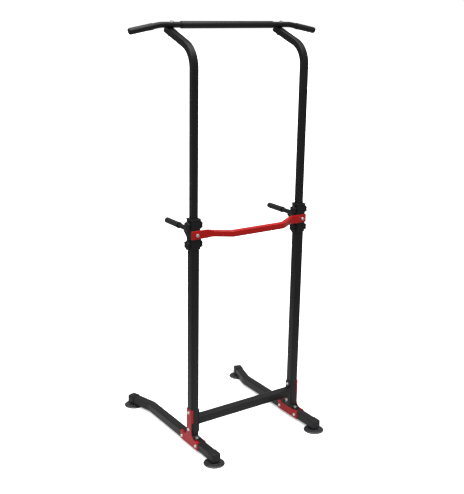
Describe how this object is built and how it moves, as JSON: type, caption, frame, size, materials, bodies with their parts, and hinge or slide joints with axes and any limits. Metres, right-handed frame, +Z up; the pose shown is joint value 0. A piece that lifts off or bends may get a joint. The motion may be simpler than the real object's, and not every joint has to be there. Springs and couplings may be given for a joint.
{
  "type": "power tower",
  "caption": "Free-standing power tower with telescoping uprights, pull-up bar, dip handles, front brace bar and suction-cup feet.",
  "frame": {"origin": "on the floor, under the middle of the footprint's bounding box", "axes": "+Z up, +Y towards the user's side where the dip handles and the pull-up bar stand, +X to the right seen from the brace bar's side"},
  "size_m": [1.2442, 1.0116, 2.4268],
  "materials": {
    "black_steel": "satin black powder coat on square and round steel tube",
    "red_steel": "bright red satin powder coat",
    "black_plastic": "moulded black plastic, fine texture",
    "grip_rubber": "matt black rubber sleeve",
    "cup_rubber": "dark grey moulded rubber",
    "zinc_bolts": "bright zinc plating"
  },
  "bodies": {
    "base": {"foot_tube_left": "black_steel", "foot_tube_right": "black_steel", "foot_cap_front_left": "black_plastic", "foot_cap_front_right": "black_plastic", "foot_cap_rear_left": "black_plastic", "foot_cap_rear_right": "black_plastic", "suction_cup_front_left": "cup_rubber", "suction_cup_front_right": "cup_rubber", "suction_cup_rear_left": "cup_rubber", "suction_cup_rear_right": "cup_rubber", "lower_upright_left": "black_steel", "lower_upright_right": "black_steel", "outer_gusset_left": "red_steel", "outer_gusset_right": "red_steel", "inner_plate_left": "red_steel", "inner_plate_right": "red_steel", "cross_beam": "black_steel", "guide_liner_left": "black_plastic", "guide_liner_right": "black_plastic", "sleeve_left": "black_steel", "sleeve_right": "black_steel", "dip_handle_left": "black_steel", "dip_handle_right": "black_steel", "dip_grip_left": "grip_rubber", "dip_grip_right": "grip_rubber", "brace_bar": "red_steel", "brace_bolt_left": "zinc_bolts", "brace_bolt_right": "zinc_bolts", "foot_bolt_front_left": "zinc_bolts", "foot_bolt_rear_left": "zinc_bolts", "foot_bolt_front_right": "zinc_bolts", "foot_bolt_rear_right": "zinc_bolts", "upright_bolt_lower_left": "zinc_bolts", "upright_bolt_upper_left": "zinc_bolts", "upright_bolt_lower_right": "zinc_bolts", "upright_bolt_upper_right": "zinc_bolts", "flange_bolt_front_left": "zinc_bolts", "flange_bolt_rear_left": "zinc_bolts", "flange_bolt_front_right": "zinc_bolts", "flange_bolt_rear_right": "zinc_bolts"},
    "upper_frame": {"upper_upright_left": "black_steel", "upper_upright_right": "black_steel", "slide_bush_left": "black_plastic", "slide_bush_right": "black_plastic", "arm_plug_left": "black_plastic", "arm_plug_right": "black_plastic", "pullup_bar": "black_steel", "centre_grip": "grip_rubber", "end_grip_left": "grip_rubber", "end_grip_right": "grip_rubber", "bar_bolt_left": "zinc_bolts", "bar_bolt_right": "zinc_bolts"},
    "upper_outer_knob_left": {"knob_upper_outer_left": "black_plastic"},
    "upper_inner_knob_left": {"knob_upper_inner_left": "black_plastic"},
    "lower_outer_knob_left": {"knob_lower_outer_left": "black_plastic"},
    "lower_inner_knob_left": {"knob_lower_inner_left": "black_plastic"},
    "upper_outer_knob_right": {"knob_upper_outer_right": "black_plastic"},
    "upper_inner_knob_right": {"knob_upper_inner_right": "black_plastic"},
    "lower_outer_knob_right": {"knob_lower_outer_right": "black_plastic"},
    "lower_inner_knob_right": {"knob_lower_inner_right": "black_plastic"}
  },
  "joints": [
    {"name": "height_slide", "type": "slide", "parent": "base", "child": "upper_frame", "axis": [0, 0, 1], "range_m": [-0.15, 0.05]},
    {"name": "upper_outer_left_turn", "type": "hinge", "parent": "base", "child": "upper_outer_knob_left", "pos_m": [-0.365, -0.21284, 1.35], "axis": [-1, 0, 0], "continuous": true},
    {"name": "upper_inner_left_turn", "type": "hinge", "parent": "base", "child": "upper_inner_knob_left", "pos_m": [-0.365, -0.21284, 1.35], "axis": [1, 0, 0], "continuous": true},
    {"name": "lower_outer_left_turn", "type": "hinge", "parent": "base", "child": "lower_outer_knob_left", "pos_m": [-0.365, -0.21284, 1.242], "axis": [-1, 0, 0], "continuous": true},
    {"name": "lower_inner_left_turn", "type": "hinge", "parent": "base", "child": "lower_inner_knob_left", "pos_m": [-0.365, -0.21284, 1.242], "axis": [1, 0, 0], "continuous": true},
    {"name": "upper_outer_right_turn", "type": "hinge", "parent": "base", "child": "upper_outer_knob_right", "pos_m": [0.365, -0.21284, 1.35], "axis": [1, 0, 0], "continuous": true},
    {"name": "upper_inner_right_turn", "type": "hinge", "parent": "base", "child": "upper_inner_knob_right", "pos_m": [0.365, -0.21284, 1.35], "axis": [-1, 0, 0], "continuous": true},
    {"name": "lower_outer_right_turn", "type": "hinge", "parent": "base", "child": "lower_outer_knob_right", "pos_m": [0.365, -0.21284, 1.242], "axis": [1, 0, 0], "continuous": true},
    {"name": "lower_inner_right_turn", "type": "hinge", "parent": "base", "child": "lower_inner_knob_right", "pos_m": [0.365, -0.21284, 1.242], "axis": [-1, 0, 0], "continuous": true}
  ]
}
